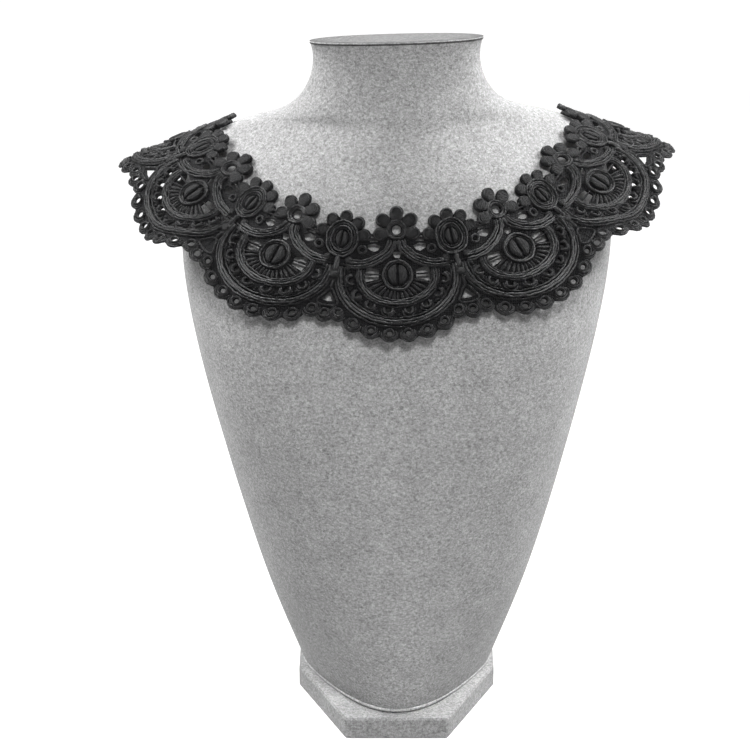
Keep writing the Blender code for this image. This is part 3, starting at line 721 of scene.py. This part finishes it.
def putCloth(group, given, put, tone, height):
    tint = group.nodes.new("ShaderNodeVectorMath")
    tint.operation = "SCALE"
    group.links.new(given.outputs["Colour"], tint.inputs[0])
    group.links.new(tone, tint.inputs["Scale"])
    group.links.new(tint.outputs[0], put.inputs["Colour"])
    group.links.new(height, put.inputs["Height"])
    return group


def addMath(tree, kind, first, second):
    node = tree.nodes.new("ShaderNodeMath")
    node.operation = kind
    for socket, value in zip(node.inputs, (first, second)):
        if isinstance(value, (int, float)):
            socket.default_value = value
        else:
            tree.links.new(value, socket)
    return node.outputs[0]


def addNoise(tree, vector, scale, detail, roughness, low, high, distortion=0.0, span=(0.3, 0.7)):
    # the noise spread from low to high over a span of its values, and the plain noise
    noise = tree.nodes.new("ShaderNodeTexNoise")
    noise.inputs["Scale"].default_value = scale
    noise.inputs["Detail"].default_value = detail
    noise.inputs["Roughness"].default_value = roughness
    noise.inputs["Distortion"].default_value = distortion
    tree.links.new(vector, noise.inputs["Vector"])
    spread = tree.nodes.new("ShaderNodeMapRange")
    for title, value in zip(("From Min", "From Max", "To Min", "To Max"), (*span, low, high)):
        spread.inputs[title].default_value = value
    tree.links.new(noise.outputs["Fac"], spread.inputs["Value"])
    return spread.outputs["Result"], noise.outputs["Fac"]


def stretched(tree, vector, scale):
    mapping = tree.nodes.new("ShaderNodeMapping")
    mapping.inputs["Scale"].default_value = scale
    tree.links.new(vector, mapping.inputs["Vector"])
    return mapping.outputs["Vector"]


# mottled short pile: a noise has its scale, detail, roughness, least and most tone, distortion, span
feltGrain = {
    "stretch": (0.75, 0.75, 1.0),
    "fibre": (800.0, 3.0, 0.7, 0.58, 1.42, 0.5),
    "speck": (1500.0, 2.0, 0.6, 0.75, 1.25),
    "patch": (60.0, 3.0, 0.5, 0.93, 1.07),
    "hair": (520.0, 2.0, 0.5, 1.0, 0.62, 2.0, (0.6, 0.74)),      # sparse darker hairs in the pile
    "speckHeight": 0.4,
}


def feltGroup():
    group, given, put = newGroup("feltMottle")
    vector = given.outputs["Place"]
    fibre, fibreRaw = addNoise(group, stretched(group, vector, feltGrain["stretch"]), *feltGrain["fibre"])
    speck, speckRaw = addNoise(group, vector, *feltGrain["speck"])
    patch, _ = addNoise(group, vector, *feltGrain["patch"])
    hair, _ = addNoise(group, vector, *feltGrain["hair"])
    grain, shade = addMath(group, "MULTIPLY", fibre, speck), addMath(group, "MULTIPLY", patch, hair)
    specks = addMath(group, "MULTIPLY", speckRaw, feltGrain["speckHeight"])
    height = addMath(group, "ADD", fibreRaw, specks)
    return putCloth(group, given, put, addMath(group, "MULTIPLY", grain, shade), height)


# strands of thread along a cord: a noise is given as for the felt
threadGrain = {
    "stretch": (0.22, 1.0, 1.0),
    "strand": (1.9, 2.0, 0.6, 0.35, 1.65),
    "patch": (0.4, 3.0, 0.6, 0.5, 1.5),
    "fuzz": (4.0, 2.0, 0.6, 0.0, 1.0),
    "waveDistortion": 1.6, "waveDetail": 1.0,
    "waveUnit": 0.314,                   # a wave texture of this scale repeats once a millimetre
    "waveHeight": 0.5, "strandHeight": 2.5,
}


def threadGroup():
    group, given, put = newGroup("stitches", (("Stitch", "NodeSocketFloat"),))
    vector = given.outputs["Place"]
    wave = group.nodes.new("ShaderNodeTexWave")
    wave.inputs["Distortion"].default_value = threadGrain["waveDistortion"]
    wave.inputs["Detail"].default_value = threadGrain["waveDetail"]
    group.links.new(vector, wave.inputs["Vector"])
    group.links.new(given.outputs["Stitch"], wave.inputs["Scale"])
    strands = stretched(group, vector, threadGrain["stretch"])
    strand, strandRaw = addNoise(group, strands, *threadGrain["strand"])
    patch, _ = addNoise(group, vector, *threadGrain["patch"])
    _, fuzz = addNoise(group, vector, *threadGrain["fuzz"])
    waves = addMath(group, "MULTIPLY", wave.outputs["Fac"], threadGrain["waveHeight"])
    ridges = addMath(group, "MULTIPLY", strandRaw, threadGrain["strandHeight"])
    height = addMath(group, "ADD", addMath(group, "ADD", waves, fuzz), ridges)
    return putCloth(group, given, put, addMath(group, "MULTIPLY", strand, patch), height)


def newMaterial(name, colour, roughness):
    material = bpy.data.materials.new(name)
    material.use_nodes = True
    shader = material.node_tree.nodes["Principled BSDF"]
    shader.inputs["Base Color"].default_value = (*colour, 1.0)
    shader.inputs["Roughness"].default_value = roughness
    return material, material.node_tree, shader


def clothMaterial(name, colour, roughness, sheen, sheenRoughness, specular, bump, relief, stitch=None):
    material, tree, shader = newMaterial(name, colour, roughness)
    shader.inputs["Sheen Weight"].default_value = sheen
    shader.inputs["Sheen Roughness"].default_value = sheenRoughness
    shader.inputs["Specular IOR Level"].default_value = specular
    cloth = tree.nodes.new("ShaderNodeGroup")
    cloth.node_tree = stitchGroup if stitch else mottleGroup
    cloth.inputs["Colour"].default_value = (*colour, 1.0)
    if stitch:
        cloth.inputs["Stitch"].default_value = threadGrain["waveUnit"] / stitch
        place = tree.nodes.new("ShaderNodeUVMap")
        place.uv_map = "thread"
    else:
        place = tree.nodes.new("ShaderNodeTexCoord")
    tree.links.new(place.outputs["UV" if stitch else "Object"], cloth.inputs["Place"])
    tree.links.new(cloth.outputs["Colour"], shader.inputs["Base Color"])
    raised = tree.nodes.new("ShaderNodeBump")
    raised.inputs["Strength"].default_value = bump
    raised.inputs["Distance"].default_value = relief * mm
    tree.links.new(cloth.outputs["Height"], raised.inputs["Height"])
    tree.links.new(raised.outputs["Normal"], shader.inputs["Normal"])
    return material


clothLooks = {
    # colour, roughness, sheen and its roughness, specular level, bump strength and height, stitch length
    "satinThread": ((0.019, 0.019, 0.02), 0.45, 0.07, 0.35, 0.45, 1.0, 1.1, 0.5),
    "padThread": ((0.008, 0.008, 0.009), 0.65, 0.03, 0.35, 0.3, 1.0, 1.1, 0.6),
    "groundThread": ((0.008, 0.008, 0.009), 0.8, 0.02, 0.35, 0.2, 1.0, 0.9, 0.9),
    "bustFelt": ((0.29,) * 3, 0.95, 0.05, 0.5, 0.1, 0.35, 0.3),
    # darker felt for the cap's top: painted shade, so the strong top light leaves it grey
    "capPaintedShade": ((0.13,) * 3, 0.95, 0.0, 0.5, 0.1, 0.35, 0.3),
    # pale felt for the piping round the tip: the edge is there, its paleness is painted light from the
    # floor below
    "pipingPaintedLight": ((0.4,) * 3, 0.9, 0.1, 0.5, 0.1, 0.2, 0.2),
    # near-black felt for the seam under the cap: the seam, darkened further as painted shadow of the cap's
    # rim
    "seamShadowFelt": ((0.06,) * 3, 0.95, 0.0, 0.5, 0.1, 0.2, 0.2),
    # paler felt for the base's top: painted light from above
    "baseTopPaintedLight": ((0.31,) * 3, 0.95, 0.05, 0.5, 0.1, 0.35, 0.3),
    "baseFelt": ((0.24,) * 3, 0.95, 0.05, 0.5, 0.1, 0.35, 0.3),
}
stitchGroup, mottleGroup = threadGroup(), feltGroup()
materials = {name: clothMaterial(name, *look) for name, look in clothLooks.items()}
print("materials done")


# the bust and the base, in metres
clothForm = {
    "merge": 0.00001,
    "flatAngle": 0.3,                    # degrees, what counts as flat
    "joinAngles": (0.6, 1.2),            # radians, what counts as one quad
    "bust": (50.0, 2), "base": (180.0, 0),           # crease angle in degrees, subdivision levels
    # the cap's top below gets painted shade: a darker felt than the bust
    "shadedCapHeight": 0.379, "shadedCapSlope": 0.4,             # the cap is what faces up above this height
    # the base's top below gets painted light: a paler felt than its sides
    "litTopSlope": 0.9,                     # the base's top is what faces up by this much
}


def mergedForm(mesh):
    work = bmesh.new()
    work.from_mesh(mesh)
    bmesh.ops.remove_doubles(work, verts=work.verts, dist=clothForm["merge"])
    return work


def smoothCopy(nodeName, name, material):
    # a node's own form, merged, with smooth faces between its creases
    creaseAngle, levels = clothForm[nodeName]
    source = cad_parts[nodeName]
    piece = bpy.data.objects.new(name, source.data.copy())
    bpy.context.scene.collection.objects.link(piece)
    mesh = piece.data
    mesh.materials.clear()
    mesh.materials.append(material)
    work = mergedForm(mesh)
    bmesh.ops.dissolve_limit(work, angle_limit=math.radians(clothForm["flatAngle"]), verts=work.verts,
                             edges=work.edges)
    faceAngle, shapeAngle = clothForm["joinAngles"]
    bmesh.ops.join_triangles(work, faces=work.faces, angle_face_threshold=faceAngle,
                             angle_shape_threshold=shapeAngle)
    crease = work.edges.layers.float.new("crease_edge")
    for edge in work.edges:
        if len(edge.link_faces) == 2 and edge.calc_face_angle() > math.radians(creaseAngle):
            edge[crease] = 1.0
    work.to_mesh(mesh)
    work.free()
    if levels:
        modifier = piece.modifiers.new("smooth", "SUBSURF")
        modifier.levels = modifier.render_levels = levels
    mesh.shade_smooth()
    return piece


# gives the upward faces above a height a second felt: painted shade on the cap's top, painted light on the
# base's top
def paintTopShading(piece, material, slope, height):
    piece.data.materials.append(material)
    for face in piece.data.polygons:
        face.material_index = int(face.normal.z > slope and face.center.z > height)


bust = smoothCopy("bust", "bustCloth", materials["bustFelt"])
# painted shade: the cap's top faces get the darker felt
paintTopShading(bust, materials["capPaintedShade"], clothForm["shadedCapSlope"], clothForm["shadedCapHeight"])
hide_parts("bust")
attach(bust, "root")

# cords round the bust: a dark seam line under the cap, its darkness partly painted shadow of the cap's rim,
# and a pale piping round the tip, its paleness painted light on the bust's lower edge
bustCords = {
    # height at the middle, slope, thickness, how far it stands out, material
    "capSeamShadow": (380.1, 0.027, 1.1, 0.15, "seamShadowFelt"),
    # a pale cord on the bust's lower edge: painted light
    "tipPipingPaintedLight": (13.8, 0.0, 2.4, 0.5, "pipingPaintedLight"),
}
bustCordPlan = {"sides": 8, "step": 2.2, "mostPoints": 60}     # a loop with more points is thinned


def bustCord(name, height, slope, thickness, proud, material):
    work = mergedForm(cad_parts["bust"].data)
    level = Vector((-slope, 0, 1)).normalized()
    cut = bmesh.ops.bisect_plane(work, geom=work.verts[:] + work.edges[:] + work.faces[:],
                                 plane_co=(0, 0, height * mm), plane_no=level)
    loop = np.array([v.co for v in cut["geom_cut"] if isinstance(v, bmesh.types.BMVert)])
    work.free()
    middle = loop.mean(axis=0)
    out = loop - middle
    loop = loop[np.argsort(np.arctan2(out[:, 1], out[:, 0]))] / mm
    loop = loop[::2] if len(loop) > bustCordPlan["mostPoints"] else loop
    path = smoothPath(loop, bustCordPlan["step"], True)
    up = np.array([0.0, 0.0, 1.0])
    outward = unit(np.cross(unit(np.roll(path, -1, axis=0) - np.roll(path, 1, axis=0)), up))
    path = path + outward * (proud - thickness / 2)
    sides = bustCordPlan["sides"]
    turns = 2 * math.pi * np.arange(sides) / sides
    rings = path[:, None] + thickness / 2 * (outward[:, None] * np.cos(turns)[None, :, None]
                                             + up * np.sin(turns)[None, :, None])
    faces = []
    for low in range(0, sides * len(path), sides):
        high = (low + sides) % (sides * len(path))
        faces += [(low + k, high + k, high + (k + 1) % sides, low + (k + 1) % sides) for k in range(sides)]
    cord = newPiece(name, rings.reshape(-1, 3) * mm, faces, materials[material])
    cord.data.shade_smooth()
    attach(cord, "root")


for name, values in bustCords.items():
    bustCord(name, *values)
base = smoothCopy("base", "baseCloth", materials["baseFelt"])
base.data.shade_flat()
# painted light: the base's top faces get the paler felt
paintTopShading(base, materials["baseTopPaintedLight"], clothForm["litTopSlope"], 0.0)
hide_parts("base")
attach(base, "root")
print("bust and base done")

# the collar's three stretches
stretches = (
    # node, first fan, last fan, free ends, how far its small holes are open, medallions stitched with it
    ("collar_front", -1, 1, "", 0.8, (-1.5, -0.5, 0.5, 1.5)),
    ("collar_left", -4, -2, "left", 1.1, (-4.5, -3.5, -2.5)),
    ("collar_right", 2, 4, "right", 1.1, (2.5, 3.5, 4.5)),
)
for node, first, last, ends, holes, medallions in stretches:
    title = node.replace("collar_", "")
    row = picotRow(first, last, ends)
    groundName = title + "Ground"
    ground, cut, area = groundSheet(groundName, first, last, ends, row, holes, materials["groundThread"])
    work = Embroidery(seed=20 + first)
    for fan in range(first, last + 1):
        stitchFan(work, fan)
    for fan in medallions:
        stitchMedallion(work, fan, freeEnd=abs(fan) > 4)
    if node == "collar_front":
        row = row + [jointPicot(-1.5), jointPicot(1.5)]
    for middle, out in row:
        stitchPicot(work, middle, out)
    stitches = work.build(title + "Stitches", materials["satinThread"], materials["padThread"])
    for piece in (ground, stitches):
        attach(piece, "root")
    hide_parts(node)
print("lace done")


studio = {
    # metres; the floor and the surroundings are brighter to a direct look than as a light
    "floorSize": 6.0, "floorTone": 0.2, "floorRoughness": 0.9, "floorGlow": 0.58, "whitePaper": 0.37,
    "sky": 0.22, "whiteSky": 0.85,
    "lampPlace": (0.86, 0.26, 1.08), "lampAim": (0.0, 0.0, 0.3),
    "lampPower": (28.0, 30.0), "lampSize": 0.55,     # power of the left and the right one
    "keyPlace": (0.2, -1.05, 1.4), "keyAim": (0.0, 0.0, 0.06),
    "keyPower": 1.75, "keySize": 0.8, "keySpread": 27.0,
    "cameraPlace": (0.0, -0.9873, 0.4656), "cameraTilt": 74.0, "lens": 86.4, "sensor": 36.0,
    "shift": (-0.0287, 0.016), "clip": (0.05, 50.0),
}


def addLight(name, place, target, power, size):
    lamp = bpy.data.lights.new(name, "AREA")
    lamp.energy = power
    lamp.size = size
    holder = bpy.data.objects.new(name, lamp)
    holder.location = place
    holder.rotation_mode = "QUATERNION"
    holder.rotation_quaternion = (Vector(target) - Vector(place)).to_track_quat("-Z", "Y")
    bpy.context.scene.collection.objects.link(holder)
    return holder


def paperFloor():
    bpy.ops.object.select_all(action="DESELECT")
    bpy.ops.mesh.primitive_plane_add(size=studio["floorSize"], location=(0, 0, 0))
    floor = bpy.context.object
    floor.name = "floor"
    paper, tree, shader = newMaterial("palePaper", (studio["floorTone"],) * 3, studio["floorRoughness"])
    shader.inputs["Emission Color"].default_value = (1, 1, 1, 1)
    glow = whiteSeen(tree, studio["floorGlow"], studio["whitePaper"])
    tree.links.new(glow, shader.inputs["Emission Strength"])
    floor.data.materials.append(paper)


def whiteSeen(tree, glow, extra):
    direct = tree.nodes.new("ShaderNodeLightPath").outputs["Is Camera Ray"]
    return addMath(tree, "ADD", addMath(tree, "MULTIPLY", direct, extra), glow)


paperFloor()
world = bpy.data.worlds.new("studio")
world.use_nodes = True
world.node_tree.nodes["Background"].inputs["Color"].default_value = (1, 1, 1, 1)
world.node_tree.links.new(whiteSeen(world.node_tree, studio["sky"], studio["whiteSky"]),
                          world.node_tree.nodes["Background"].inputs["Strength"])
bpy.context.scene.world = world
bpy.context.scene.view_settings.view_transform = "Standard"
x, y, z = studio["lampPlace"]
addLight("leftLamp", (-x, y, z), studio["lampAim"], studio["lampPower"][0], studio["lampSize"])
addLight("rightLamp", (x, y, z), studio["lampAim"], studio["lampPower"][1], studio["lampSize"])
keyLamp = addLight("keyLamp", studio["keyPlace"], studio["keyAim"], studio["keyPower"], studio["keySize"])
keyLamp.data.spread = math.radians(studio["keySpread"])

camera = bpy.data.cameras.new("camera")
camera.sensor_width = studio["sensor"]
camera.lens = studio["lens"]
camera.shift_x, camera.shift_y = studio["shift"]
camera.clip_start, camera.clip_end = studio["clip"]
eye = bpy.data.objects.new("camera", camera)
eye.location = studio["cameraPlace"]
eye.rotation_euler = (math.radians(studio["cameraTilt"]), 0.0, 0.0)
bpy.context.scene.collection.objects.link(eye)
bpy.context.scene.camera = eye
